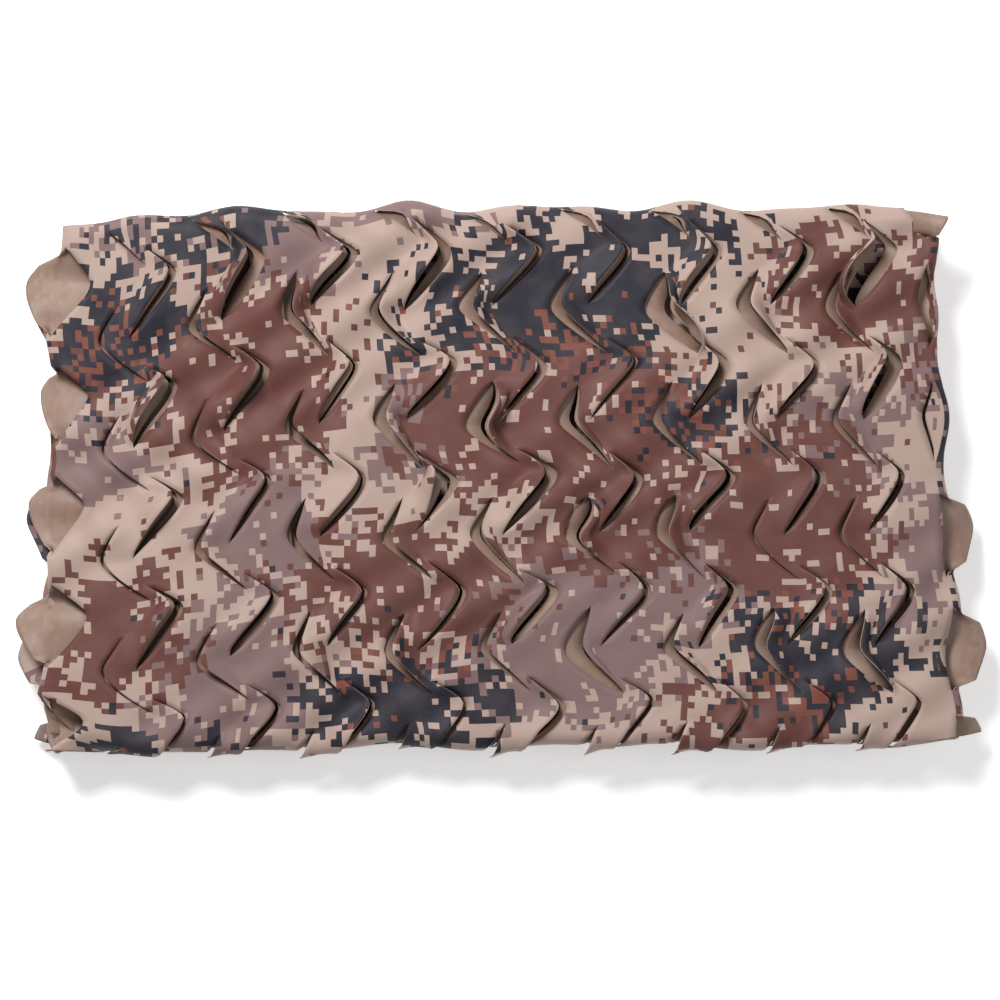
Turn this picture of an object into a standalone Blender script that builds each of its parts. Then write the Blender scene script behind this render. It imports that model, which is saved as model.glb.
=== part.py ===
"""Folded camouflage netting.

One length of thin die-cut cloth, laid back and forth into a flat bundle. The cloth is one open surface,
worked out on a grid whose lines follow the bracket-shaped slits, and Solidify gives it its thickness.
Lengths are in metres. The bundle rests on z = 0, its long side lies along X, and the folds run along Y.

The flat net has two coordinates: u runs along the net, through all its plies, and v across it.
"""

import copy
import math

import bpy
import numpy as np

# The cloth.
THICKNESS = 0.0015
NET_COLOUR = (0.50, 0.40, 0.31, 1.0)
NET_ROUGHNESS = 0.72

# The slit lattice. A "right" slit is a bracket whose apex points along +u, a "left" slit one along -u.
PITCH_U = 0.0489
ROW = 0.01027
ROWS_PER_PITCH = 6
EDGE_ROW = 15
LEFT_APEX_AFTER_RIGHT = 0.007
APEX_ROUNDING = 0.22
SLIT_COLUMNS = 10

# The arms of each bracket: how many rows they span, and how far back from the apex each one ends.
RIGHT_SLIT = {"upper_rows": 1, "lower_rows": 3, "upper_back": 0.0135, "lower_back": 0.0250}
LEFT_SLIT = {"upper_rows": 2, "lower_rows": 2, "upper_back": 0.0114, "lower_back": 0.0223}
# At a fold, both arms end on the fold line.
FOLD_RIGHT_SLIT = {"upper_rows": 1, "lower_rows": 3, "upper_back": 0.0190, "lower_back": 0.0190}
FOLD_LEFT_SLIT = {"upper_rows": 2, "lower_rows": 2, "upper_back": 0.0170, "lower_back": 0.0170}

# The plies from the top down: the height of the cloth's middle, and the x of the fold or end that it runs to.
TUCKED_PLY = {"height": 0.0313, "inner_end_x": -0.1160}
PLIES = [
    {"height": 0.0356, "runs_to_x": 0.2415},
    {"height": 0.0264, "runs_to_x": -0.2400},
    {"height": 0.0220, "runs_to_x": 0.2385},
    {"height": 0.0177, "runs_to_x": -0.2425},
    {"height": 0.0134, "runs_to_x": 0.2425},
    {"height": 0.0091, "runs_to_x": -0.2380},
    {"height": 0.0049, "runs_to_x": 0.2400},
    {"height": THICKNESS / 2, "runs_to_x": -0.2310},
]
TOP_START_X = -0.2415
TOP_LENGTH = PLIES[0]["runs_to_x"] - TOP_START_X

# Across the bundle: the top ply rolls over the front and back edges, and the plies below are drawn in.
ROLL_START = 0.1385
ROLL_RADIUS = 0.0085
ROLL_FADE = 0.045
LOWER_DRAW_IN = 0.930
# How far the plies stray from each other in width and in place, and the length of net over which they do.
WIDTH_STRAY = 0.010
SIDE_STRAY = 0.0022
STRAY_LENGTH = 0.43

# The middle of the finished bundle's box, which becomes the origin.
MIDDLE_X = 0.0043
MIDDLE_Y = -0.0009

# Uneven lay: the cross lines lean, the more the further right they lie, the top ply's left part is stretched
# and bowed, and slow waves run through all the plies.
LEAN = {"left": -0.023, "middle": 0.040, "gain": 0.016, "reach": 0.10}
STRETCH = 0.014
BOW = 0.010
BOW_REACH = 0.075
WAVE = 0.0016

# The lips of a slit: how far they part and rise, lowest and highest.
TONGUE_RETREAT = (0.0022, 0.0080)
TONGUE_RISE = (0.0008, 0.0066)
TONGUE_SLIP = 0.0016
LIP_RETREAT = (0.0004, 0.0034)
LIP_DROP = (-0.0004, 0.0018)
EDGE_OPENING = 0.3

# The tongues at the folds, fold -1 being the one at the top ply's start. Each stands away from its fold by a
# share (1 is free), reaches out for a share of its length, droops by an angle and turns sideways by a slope.
FLAPS = [
    {"fold": -1, "slit": 2, "stands": 1.0, "reach": 0.60, "droop": 0.35, "turns": 0.10},
    {"fold": -1, "slit": 1, "stands": 1.0, "reach": 0.40, "droop": 0.60, "turns": 0.30},
    {"fold": -1, "slit": 0, "stands": 1.0, "reach": 0.55, "droop": 0.40, "turns": 0.22},
    {"fold": -1, "slit": -1, "stands": 1.0, "reach": 0.72, "droop": 0.25, "turns": -0.22},
    {"fold": -1, "slit": -2, "stands": 0.8, "reach": 0.45, "droop": 0.50, "turns": -0.60},
    {"fold": 0, "slit": 2, "stands": 0.9, "reach": 0.40, "droop": 0.10, "turns": 0.40},
    {"fold": 0, "slit": 1, "stands": 0.5, "reach": 0.42, "droop": 0.40, "turns": -0.20},
    {"fold": 0, "slit": 0, "stands": 0.4, "reach": 0.40, "droop": 0.40, "turns": 0.20},
    {"fold": 0, "slit": -1, "stands": 1.0, "reach": 0.60, "droop": 0.35, "turns": 0.05},
    {"fold": 0, "slit": -2, "stands": 1.0, "reach": 0.80, "droop": 0.25, "turns": -0.10},
    {"fold": 0, "slit": -3, "stands": 1.0, "reach": 0.52, "droop": 0.35, "turns": 0.15},
    {"fold": 1, "slit": -1, "stands": 1.0, "reach": 0.70, "droop": 0.30, "turns": 0.20},
    {"fold": 1, "slit": -2, "stands": 1.0, "reach": 0.88, "droop": 0.25, "turns": -0.45},
]
# The same for the tongues that the table leaves out: the least and the most.
OTHER_FLAPS = {"stands": (0.6, 1.0), "reach": (0.35, 0.60), "droop": (0.05, 0.50), "turns": (-0.3, 0.3)}


def uneven(line, slit, channel):
    """A repeatable number between 0 and 1 for one slit."""
    wave = np.sin(line * 12.9898 + slit * 78.233 + channel * 37.719) * 43758.5453
    return wave - np.floor(wave)


def between(limits, share):
    return limits[0] + (limits[1] - limits[0]) * share


def ease(share):
    """Runs from 0 to 1 with level ends."""
    share = np.clip(share, 0.0, 1.0)
    return share * share * (3.0 - 2.0 * share)


def rounded(share):
    """Runs from 0 at an apex to 1 at an arm's end, rounded at the apex."""
    start = math.hypot(0.0, APEX_ROUNDING)
    return (np.hypot(share, APEX_ROUNDING) - start) / (math.hypot(1.0, APEX_ROUNDING) - start)


class SlitLine:
    """A line of slits that runs across the net, with the cloth that joins one slit to the next."""

    def __init__(self, number, points_right, apex_u, rows, shape):
        self.number = number
        self.points_right = points_right
        apex_row = 0 if points_right else ROWS_PER_PITCH // 2
        low, up = shape["lower_rows"], shape["upper_rows"]
        self.slit = np.floor((rows - apex_row + low) / ROWS_PER_PITCH)
        above = rows - apex_row - self.slit * ROWS_PER_PITCH
        bridge = ease((above - up) / (ROWS_PER_PITCH - low - up))
        back = np.where(
            above >= 0,
            shape["upper_back"] * rounded(above / up),
            shape["lower_back"] * rounded(-above / low),
        )
        back = np.where(
            above > up, shape["upper_back"] + (shape["lower_back"] - shape["upper_back"]) * bridge, back
        )
        self.u = apex_u - back if points_right else apex_u + back
        # A slit that ends on the net's own edge runs out through it.
        self.cut = ((above > -low) & (above < up)) | ((abs(rows) == EDGE_ROW) & (above == -low))
        wide = np.sin(np.pi * np.clip((above + low) / (up + low), 0, 1)) ** 0.75
        self.opening = np.where(self.cut, np.maximum(wide, EDGE_OPENING), 0.0)

    def share(self, channel):
        return uneven(self.number, self.slit, channel)

    def tongue(self):
        """How the inside of the bracket moves: along u, along v and out of the cloth."""
        towards_root = -1.0 if self.points_right else 1.0
        along = towards_root * between(TONGUE_RETREAT, self.share(1))
        across = TONGUE_SLIP * (2.0 * self.share(2) - 1.0)
        rise = between(TONGUE_RISE, self.share(3))
        return np.stack([along, across, rise]) * self.opening

    def lip(self):
        """How the cloth outside the bracket moves."""
        away = 1.0 if self.points_right else -1.0
        along = away * between(LIP_RETREAT, self.share(4))
        drop = between(LIP_DROP, self.share(5))
        return np.stack([along, 0.0 * along, -drop]) * self.opening


def section(u):
    """The back-and-forth path of the net: x, z and the direction of the path at each u."""
    x, z = np.zeros_like(u), np.zeros_like(u)
    along_x, along_z = np.ones_like(u), np.zeros_like(u)
    for piece in PATH:
        here = (u >= piece["from_u"]) & (u < piece["to_u"])
        share = (u - piece["from_u"]) / (piece["to_u"] - piece["from_u"])
        if piece["radius"] == 0.0:
            found = (
                piece["from_x"] + (piece["to_x"] - piece["from_x"]) * share,
                piece["z"] + 0.0 * share,
                piece["side"] + 0.0 * share,
                0.0 * share,
            )
        else:
            turn = np.pi * share
            found = (
                piece["from_x"] + piece["side"] * piece["radius"] * np.sin(turn),
                piece["z"] + piece["climb"] * piece["radius"] * (1.0 - np.cos(turn)),
                piece["side"] * np.cos(turn),
                piece["climb"] * np.sin(turn),
            )
        for whole, part in zip((x, z, along_x, along_z), found):
            whole[here] = part[here]
    return x, z, along_x, along_z


def path_pieces():
    """The plies and folds in the order of u. The top ply starts at u = 0."""
    tuck = TUCKED_PLY
    radius = (PLIES[0]["height"] - tuck["height"]) / 2
    arc = math.pi * radius
    tuck_length = tuck["inner_end_x"] - TOP_START_X
    pieces = [
        flat_piece(-arc - tuck_length, -arc, tuck["inner_end_x"], TOP_START_X, tuck["height"]),
        fold_piece(-arc, radius, TOP_START_X, tuck["height"], -1.0, 1.0),
    ]
    from_u, from_x = 0.0, TOP_START_X
    for number, ply in enumerate(PLIES):
        to_u = fold_u(number)
        pieces.append(flat_piece(from_u, to_u, from_x, ply["runs_to_x"], ply["height"]))
        if number + 1 == len(PLIES):
            break
        radius = (ply["height"] - PLIES[number + 1]["height"]) / 2
        side = 1.0 if number % 2 == 0 else -1.0
        pieces.append(fold_piece(to_u, radius, ply["runs_to_x"], ply["height"], side, -1.0))
        from_u, from_x = to_u + math.pi * radius, ply["runs_to_x"]
    pieces[-1]["to_u"] += 1e-6
    return pieces


def flat_piece(from_u, to_u, from_x, to_x, z):
    side = 1.0 if to_x > from_x else -1.0
    return {"from_u": from_u, "to_u": to_u, "from_x": from_x, "to_x": to_x, "z": z, "side": side, "radius": 0.0}


def fold_piece(from_u, radius, x, z, side, climb):
    to_u = from_u + math.pi * radius
    return {"from_u": from_u, "to_u": to_u, "from_x": x, "z": z, "side": side, "climb": climb, "radius": radius}


def fold_u(number):
    """Where ply `number` ends and its fold starts, on the base line of a line of left slits."""
    first = FOLD_RIGHT_SLIT["upper_back"] + LEFT_APEX_AFTER_RIGHT + FOLD_LEFT_SLIT["upper_back"]
    return first + PITCH_U * (SLIT_COLUMNS - 1 + SLIT_COLUMNS * number)


def place(u, v, moved):
    """The net's surface at (u, v), moved along u, along v and out of the cloth by `moved`."""
    x, z, along_x, along_z = section(u)
    top = (u >= 0.0) & (u <= fold_u(0))
    rolled = np.where(top, ease(u / ROLL_FADE) * ease((fold_u(0) - u) / ROLL_FADE), 0.0)
    past = np.clip(np.abs(v) - ROLL_START, 0.0, None)
    angle = np.minimum(past / ROLL_RADIUS, math.pi / 2)
    straight = past - angle * ROLL_RADIUS
    side = np.sign(v)
    roll_y = side * (np.minimum(np.abs(v), ROLL_START) + ROLL_RADIUS * np.sin(angle))
    roll_drop = ROLL_RADIUS * (1.0 - np.cos(angle)) + straight
    stray = u / STRAY_LENGTH
    flat_y = v * (LOWER_DRAW_IN + WIDTH_STRAY * np.sin(1.7 * stray)) + SIDE_STRAY * np.sin(stray)
    y = rolled * roll_y + (1.0 - rolled) * flat_y
    drop = rolled * roll_drop
    tilt = rolled * angle * side
    share = np.clip((x - TOP_START_X) / TOP_LENGTH, 0.0, 1.0)
    lean = LEAN["left"] + (LEAN["middle"] - LEAN["left"]) * (1.0 - np.exp(-share / LEAN["reach"]))
    lean = lean + LEAN["gain"] * share
    inner = np.sin(np.pi * share)
    stretch = np.where(top, STRETCH * share * (1.0 - share**10), 0.0)
    bow = BOW * np.exp(-share * TOP_LENGTH / BOW_REACH) * ease(share * 12.0) * inner**0.25
    x, y = x + stretch - lean * y, y - np.where(top, bow, 0.0)
    lay = WAVE * (np.sin(17.0 * x + 11.0 * y + 0.6) + 0.6 * np.sin(31.0 * y - 13.0 * x + 1.9))
    floor_height = PLIES[-1]["height"]
    lift = np.clip((z - floor_height) / (PLIES[0]["height"] - floor_height), 0.0, 1.0)
    z = z - drop + lay * lift**1.5
    out_x, out_flat = -along_z, along_x
    point_x = x + along_x * moved[0] + out_x * moved[2]
    point_y = y + np.cos(tilt) * moved[1] + out_flat * np.sin(tilt) * moved[2]
    point_z = z + along_z * moved[0] - np.sin(tilt) * moved[1] + out_flat * np.cos(tilt) * moved[2]
    return np.stack([point_x - MIDDLE_X, point_y - MIDDLE_Y, point_z], axis=-1)


def flap_values(fold, line):
    """What FLAPS, or else OTHER_FLAPS, says for the slit that each row of a fold's line is in."""
    values = {}
    for channel, (name, limits) in enumerate(OTHER_FLAPS.items()):
        values[name] = between(limits, line.share(6 + channel))
        for row in FLAPS:
            if row["fold"] == fold:
                values[name] = np.where(line.slit == row["slit"], row[name], values[name])
    return values


def flap(fold, line, u, v, root_u):
    """A tongue that stands out at a fold, straight from its root at `root_u`, on the side the fold is on."""
    side = -1.0 if fold % 2 else 1.0
    row = flap_values(fold, line)
    still = np.zeros((3, len(v)))
    root = place(np.full_like(v, root_u), v, still)
    reach = np.abs(u - root_u) * row["reach"]
    lowest = np.arcsin(np.clip((root[:, 2] - THICKNESS / 2) / np.maximum(reach, THICKNESS), 0.0, 1.0))
    droop = np.minimum(row["droop"], lowest)
    root[:, 0] += side * reach * np.cos(droop)
    root[:, 1] += row["turns"] * reach
    root[:, 2] -= reach * np.sin(droop)
    free = row["stands"][:, None]
    return root * free + place(u, v, still) * (1.0 - free)


def covering(fold, line):
    """A fold's slit line as the cloth outside it has it: drawn out over the tongues that stand away."""
    outer = copy.copy(line)
    outer.u = line.u + (fold_u(fold) - line.u) * flap_values(fold, line)["stands"]
    return outer


def strip_columns(left, right, shares, left_inside, v):
    """The columns between two slit lines, with each column's move. Both sides of each line are given too."""
    columns = []
    for share in shares:
        u = left.u + (right.u - left.u) * share
        near_left = (left.tongue() if left_inside else left.lip()) * (1.0 - ease(share))
        near_right = (right.tongue() if left_inside else right.lip()) * ease(share)
        columns.append(place(u, v, near_left + near_right))
    return columns


class Surface:
    """Collects the points and faces of the open cloth."""

    def __init__(self):
        self.points = []
        self.faces = []

    def add_column(self, left, right=None, cut=None):
        """Adds a column of points. Where `cut` is set, its left and right sides are apart."""
        first = len(self.points)
        self.points += [tuple(point) for point in left]
        left_index = np.arange(first, first + len(left))
        right_index = left_index.copy()
        if cut is not None:
            right_index[cut] = np.arange(len(self.points), len(self.points) + cut.sum())
            self.points += [tuple(point) for point in right[cut]]
        return left_index, right_index

    def join(self, left, right):
        """Quads between two columns with the same rows."""
        for low in range(len(left) - 1):
            self.faces.append((left[low], right[low], right[low + 1], left[low + 1]))

    def join_to_half(self, left, right):
        """Joins a column to one with half as many rows, whichever of the two is the longer."""
        for low in range(0, max(len(left), len(right)) - 1, 2):
            if len(left) > len(right):
                half = low // 2
                self.faces.append((left[low], right[half], left[low + 1]))
                self.faces.append((left[low + 1], right[half], right[half + 1]))
                self.faces.append((left[low + 1], right[half + 1], left[low + 2]))
            else:
                half = low // 2
                self.faces.append((right[low + 1], left[half], right[low]))
                self.faces.append((right[low + 1], left[half + 1], left[half]))
                self.faces.append((right[low + 1], right[low + 2], left[half + 1]))


def plain_column(surface, u, v):
    return surface.add_column(place(np.full_like(v, u), v, np.zeros((3, len(v)))))[0]


def top_ply(surface, rows, v):
    """The top ply and the fold at each of its sides. Gives the outermost column at each side."""
    radius = (PLIES[0]["height"] - TUCKED_PLY["height"]) / 2
    tuck_u = -math.pi * radius
    right_apex = FOLD_RIGHT_SLIT["upper_back"]
    lines = []
    for column in range(SLIT_COLUMNS):
        shape = FOLD_RIGHT_SLIT if column == 0 else RIGHT_SLIT
        lines.append(SlitLine(2 * column, True, right_apex + PITCH_U * column, rows, shape))
        shape = FOLD_LEFT_SLIT if column == SLIT_COLUMNS - 1 else LEFT_SLIT
        apex = right_apex + LEFT_APEX_AFTER_RIGHT + PITCH_U * column
        lines.append(SlitLine(2 * column + 1, False, apex, rows, shape))

    first, last = lines[0], lines[-1]
    outermost = plain_column(surface, tuck_u, v)
    middle = place(np.full_like(v, tuck_u / 2), v, np.zeros((3, len(v))))
    middle[first.cut] = flap(-1, first, np.full_like(v, tuck_u / 2), v, tuck_u)[first.cut]
    middle_index = surface.add_column(middle)[0]
    surface.join(outermost, middle_index)
    inside = flap(-1, first, first.u, v, tuck_u)
    outside = place(first.u, v, first.lip())
    inside[~first.cut] = outside[~first.cut]
    left_index, open_index = surface.add_column(inside, outside, first.cut)
    surface.join(middle_index, left_index)

    outer = covering(0, last)
    for left, right in zip(lines, [*lines[1:-1], outer]):
        between_tongues = not left.points_right
        shares = () if between_tongues else (0.5,)
        for column in strip_columns(left, right, shares, between_tongues, v):
            index = surface.add_column(column)[0]
            surface.join(open_index, index)
            open_index = index
        if right is outer:
            break
        inside = place(right.u, v, right.tongue())
        outside = place(right.u, v, right.lip())
        sides = (inside, outside) if right.points_right else (outside, inside)
        left_index, right_index = surface.add_column(*sides, right.cut)
        surface.join(open_index, left_index)
        open_index = right_index

    arc = math.pi * (PLIES[0]["height"] - PLIES[1]["height"]) / 2
    end_u = fold_u(0) + arc
    outside = place(outer.u, v, outer.lip())
    inside = flap(0, last, last.u, v, end_u)
    left_index, right_index = surface.add_column(outside, inside, last.cut)
    surface.join(open_index, left_index)
    for share in (0.33, 0.67):
        u = np.full_like(v, fold_u(0) + arc * share)
        column = place(u, v, np.zeros((3, len(v))))
        column[last.cut] = flap(0, last, u, v, end_u)[last.cut]
        index = surface.add_column(column)[0]
        surface.join(right_index, index)
        right_index = index
    end_index = plain_column(surface, end_u, v)
    surface.join(right_index, end_index)
    return outermost, end_index


def lower_ply(surface, number, start_index, rows, v):
    """Ply `number` and, below all but the last, the fold that leads to the next one."""
    start_u = fold_u(number - 1) + math.pi * (PLIES[number - 1]["height"] - PLIES[number]["height"]) / 2
    middle = plain_column(surface, (start_u + fold_u(number)) / 2, v)
    if len(start_index) != len(middle):
        surface.join_to_half(start_index, middle)
    else:
        surface.join(start_index, middle)
    if number + 1 == len(PLIES):
        surface.join(middle, plain_column(surface, fold_u(number), v))
        return None
    line_number = 2 * SLIT_COLUMNS * (number + 1) - 1
    apex = fold_u(number) - FOLD_LEFT_SLIT["upper_back"]
    line = SlitLine(line_number, False, apex, rows, FOLD_LEFT_SLIT)
    arc = math.pi * (PLIES[number]["height"] - PLIES[number + 1]["height"]) / 2
    end_u = fold_u(number) + arc
    outside = place(covering(number, line).u, v, np.zeros((3, len(v))))
    inside = flap(number, line, line.u, v, end_u)
    left_index, right_index = surface.add_column(outside, inside, line.cut)
    surface.join(middle, left_index)
    u = np.full_like(v, fold_u(number) + arc / 2)
    column = place(u, v, np.zeros((3, len(v))))
    column[line.cut] = flap(number, line, u, v, end_u)[line.cut]
    index = surface.add_column(column)[0]
    surface.join(right_index, index)
    end_index = plain_column(surface, end_u, v)
    surface.join(index, end_index)
    return end_index


def cloth_material():
    material = bpy.data.materials.new("printed_cloth")
    material.use_nodes = True
    shader = material.node_tree.nodes["Principled BSDF"]
    shader.inputs["Base Color"].default_value = NET_COLOUR
    shader.inputs["Roughness"].default_value = NET_ROUGHNESS
    shader.inputs["Metallic"].default_value = 0.0
    return material


def make_net(collection):
    rows = np.arange(-EDGE_ROW, EDGE_ROW + 1)
    v = rows * ROW
    half_rows, half_v = rows[::2], v[::2]
    surface = Surface()
    outermost, index = top_ply(surface, rows, v)
    tuck_end = plain_column(surface, PATH[0]["from_u"], half_v)
    surface.join_to_half(tuck_end, outermost)
    for number in range(1, len(PLIES)):
        index = lower_ply(surface, number, index, half_rows, half_v)

    mesh = bpy.data.meshes.new("net")
    mesh.from_pydata(surface.points, [], surface.faces)
    mesh.validate()
    net = bpy.data.objects.new("net", mesh)
    collection.objects.link(net)
    mesh.materials.append(cloth_material())
    solidify = net.modifiers.new("Thickness", "SOLIDIFY")
    solidify.thickness = THICKNESS
    solidify.offset = 0.0
    return net


for old in list(bpy.data.objects):
    bpy.data.objects.remove(old, do_unlink=True)

PATH = path_pieces()
bundle = bpy.data.collections.new("folded_camouflage_netting")
bpy.context.scene.collection.children.link(bundle)
make_net(bundle)
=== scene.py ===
"""Dresses the folded camouflage netting: one long die-cut cloth, laid back and forth into a flat bundle.

The cloth is worked out from two flat coordinates, u along the net through all its plies and v across it.
A grid whose lines follow the slits is carried along the back-and-forth path of the folds, and the lips of
each slit part, rise and curl by amounts of their own. Lengths are in metres.
"""

import copy
import math

import bpy
import numpy as np
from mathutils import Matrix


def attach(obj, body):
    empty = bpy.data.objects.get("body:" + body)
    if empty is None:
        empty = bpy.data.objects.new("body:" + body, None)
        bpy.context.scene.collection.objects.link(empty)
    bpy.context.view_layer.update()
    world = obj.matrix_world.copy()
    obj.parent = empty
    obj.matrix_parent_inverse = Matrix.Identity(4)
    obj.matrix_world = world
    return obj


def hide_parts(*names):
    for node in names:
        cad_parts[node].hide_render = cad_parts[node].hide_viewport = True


bl_info = {
    "name": "Folded camouflage netting",
    "version": (1, 0, 0),
    "blender": (4, 5, 0),
    "location": "3D View > Sidebar > Netting",
    "description": "Makes a flat bundle of die-cut, printed camouflage netting and a plain studio round it",
    "category": "Add Mesh",
}

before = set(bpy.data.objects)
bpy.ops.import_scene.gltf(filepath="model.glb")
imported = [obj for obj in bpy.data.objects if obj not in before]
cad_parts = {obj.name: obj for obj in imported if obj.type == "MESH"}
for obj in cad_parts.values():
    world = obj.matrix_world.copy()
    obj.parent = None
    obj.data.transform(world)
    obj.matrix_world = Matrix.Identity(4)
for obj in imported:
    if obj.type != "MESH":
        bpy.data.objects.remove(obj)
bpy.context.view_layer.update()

# The slit lattice. Rows are counted across the net, from its middle. The top ply's lines of slits are counted
# from its left end: the even ones hold "right" slits, whose apexes point along +u, and the odd ones "left"
# slits. The slits of a line are counted across the net too, towards its back.
PITCH_U = 0.0489
ROW = 0.01027
ROWS_PER_PITCH = 6
EDGE_ROW = 15
LEFT_APEX_AFTER_RIGHT = 0.007
APEX_ROUNDING = 0.22
SLIT_COLUMNS = 10
BACK_SLIT = 2
NET_WIDTH = 2 * EDGE_ROW * ROW
# A slit on the net's back edge ends this many rows before it.
EDGE_CLOSES = 0.7

# The arms of each bracket: how many rows they span, and how far back from the apex each one ends.
RIGHT_SLIT = {"upper_rows": 1.5, "lower_rows": 3.0, "upper_back": 0.0190, "lower_back": 0.0250}
LEFT_SLIT = {"upper_rows": 2.0, "lower_rows": 2.5, "upper_back": 0.0114, "lower_back": 0.0262}
FOLD_RIGHT_SLIT = {"upper_rows": 1.5, "lower_rows": 3.0, "upper_back": 0.0190, "lower_back": 0.0190}
FOLD_LEFT_SLIT = {"upper_rows": 2.0, "lower_rows": 2.5, "upper_back": 0.0170, "lower_back": 0.0170}

# The plies from the top down, where the solid has them.
TUCKED_PLY = {"height": 0.0313, "inner_end_x": -0.1160}
PLIES = [
    {"height": 0.0356, "runs_to_x": 0.2415},
    {"height": 0.0264, "runs_to_x": -0.2400},
    {"height": 0.0220, "runs_to_x": 0.2385},
    {"height": 0.0177, "runs_to_x": -0.2425},
    {"height": 0.0134, "runs_to_x": 0.2425},
    {"height": 0.0091, "runs_to_x": -0.2380},
    {"height": 0.0049, "runs_to_x": 0.2400},
    {"height": 0.00075, "runs_to_x": -0.2310},
]
LOWEST = PLIES[-1]["height"]
TOP_START_X = -0.2415
TOP_LENGTH = PLIES[0]["runs_to_x"] - TOP_START_X
# How many of the top ply's lines of slits the tucked ply under it has too.
TUCKED_LINES = 4
# Away from their folds, the second and the tucked ply bulge up until they lie just under the top one.
BULGE = {"rise": 0.0066, "starts_x": -0.118, "ends_x": 0.2415, "slope_length": 0.045}
TUCK_BULGE = {"rise": 0.0006, "steepness": 3.0}

# Across the bundle. The top ply rolls over the front and back edges. The lower plies are drawn in near their
# edges, and stray in width and place along the net.
ROLL_START = 0.1385
ROLL_RADIUS = 0.0085
ROLL_FADE = 0.045
DRAW_IN_START = 0.122
LOWER_DRAW_IN = 0.930
WIDTH_STRAY = {"by": 0.010, "waves": 1.7}
SIDE_STRAY = 0.0022
STRAY_LENGTH = 0.43
# Taken off every point, so that the bundle lies where the solid does.
MIDDLE_X = 0.0043
MIDDLE_Y = -0.0009
# The plies next to the top one roll over the edges with it, this much further in, and less near their folds.
UNDER_ROLL = {"inset": 0.0014, "fade": 0.3}
# At its left end the top ply has slid forwards, with the tucked one, most at its back. The corner of the
# plies below is set in, and stays under it.
SLIDE = {"by": 0.0195, "reach": 0.14, "at_front": 0.45, "edge_start": 0.115, "edge_less": 0.45}
CORNER = {"inward": 0.0075, "rightward": 0.0060, "reach_x": 0.050, "from_y": 0.095, "to_y": 0.138}
# The plies under the top one are pressed down in the hollows beside the left tongues.
DENTS = [
    {"x": -0.2290, "y": 0.1070, "depth": 0.011},
    {"x": -0.2310, "y": 0.0530, "depth": 0.011},
    {"x": -0.2300, "y": -0.0060, "depth": 0.008},
    {"x": -0.2290, "y": -0.0650, "depth": 0.012},
    {"x": -0.2220, "y": -0.1340, "depth": 0.011},
]
DENT_SIZE = {"x": 0.0090, "y": 0.0085}

# Uneven lay of the upper plies, seen from above. Each wave has its share, its radians a metre along x and
# along y, and its start.
STRETCH = {"by": 0.014, "power": 10}
LEAN = {"left": -0.023, "middle": 0.040, "gain": 0.016, "reach": 0.10}
BOW = {"by": 0.010, "reach": 0.075, "steepness": 12.0, "power": 0.25}
LATTICE_STRAY = {
    "by": 0.0011,
    "x_waves": [(1.0, 61.0, 43.0, 0.0), (1.0, -29.0, 97.0, 2.0)],
    "y_waves": [(1.0, 53.0, -71.0, 1.0), (1.0, 83.0, 37.0, 0.0)],
}
# The back edge wavers: its waves set in from one y to another.
EDGE_WAVE = {
    "by": 0.0013,
    "from_y": 0.118,
    "to_y": 0.144,
    "waves": [(1.0, 128.0, 0.0, 1.0), (1.0, 77.0, 0.0, -0.5)],
}
# The folds of all the plies waver too. These waves run along the net in stray lengths, and along y.
END_STRAY = {"by": 0.0016, "power": 4, "waves": [(1.0, 5.0, 66.0, 0.0), (1.0, -3.0, 119.0, 1.0)]}

# Uneven lay in height: slow waves, and small creases that come and go. Half of the creases are bent.
WAVE = {"by": 0.0016, "waves": [(1.0, 17.0, 11.0, 0.6), (0.6, -13.0, 31.0, 1.9)]}
CREASE = {
    "by": 0.0009,
    "bent": (1.0, 150.0, 95.0),
    "bent_by": 2.0,
    "bent_over": 40.0,
    "straight": (1.0, -120.0, 190.0, 1.0),
    "swell": (1.0, 23.0, -31.0, 0.0),
}

# How finely each ply is divided: columns in a wide strip, in a narrow strip and round a fold.
ROWS_IN_ONE = 4
TOP_DETAIL = {"wide": 9, "narrow": 7, "fold": 6}
SECOND_DETAIL = {"wide": 5, "narrow": 4, "fold": 6}
LOWER_DETAIL = {"fold": 4}
LOWER_COLUMNS = 4
# Columns that only the tongues at a fold have: at the upper folds, at the lower ones, and inside their ply.
TONGUE_COLUMNS = {"upper": 5, "lower": 2, "root": 5}
UPPER_FOLDS = 2

# How wide the slits of the top ply stand open, in millimetres: a row for each line, from the back slit to the
# front one.
OPEN_SLITS = [
    (0.5, 0.5, 0.5, 0.5, 0.5),
    (2.5, 2.5, 2.0, 2.5, 1.5, 2.0),
    (5.0, 8.5, 6.0, 8.0, 2.0),
    (11.0, 4.5, 2.0, 4.5, 3.0, 3.0),
    (11.5, 7.0, 4.5, 6.0, 5.0),
    (10.5, 8.5, 5.5, 5.5, 4.5, 3.0),
    (9.0, 6.0, 5.5, 4.5, 3.5),
    (11.5, 6.0, 8.0, 6.0, 5.0, 3.0),
    (8.5, 5.5, 13.0, 5.0, 2.5),
    (6.0, 8.0, 14.0, 7.0, 4.5, 4.5),
    (4.5, 6.0, 8.0, 9.0, 5.5),
    (9.0, 6.0, 11.0, 12.0, 11.0, 4.5),
    (5.0, 3.5, 6.0, 5.5, 3.5),
    (11.0, 16.0, 5.5, 8.0, 6.0, 4.5),
    (8.0, 7.5, 7.5, 8.5, 3.5),
    (9.0, 8.5, 5.0, 1.5, 7.0, 3.0),
    (7.5, 4.5, 5.5, 5.0, 2.5),
    (10.0, 5.5, 3.5, 2.0, 10.0, 4.5),
    (19.0, 11.0, 4.5, 6.0, 3.5),
]
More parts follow.
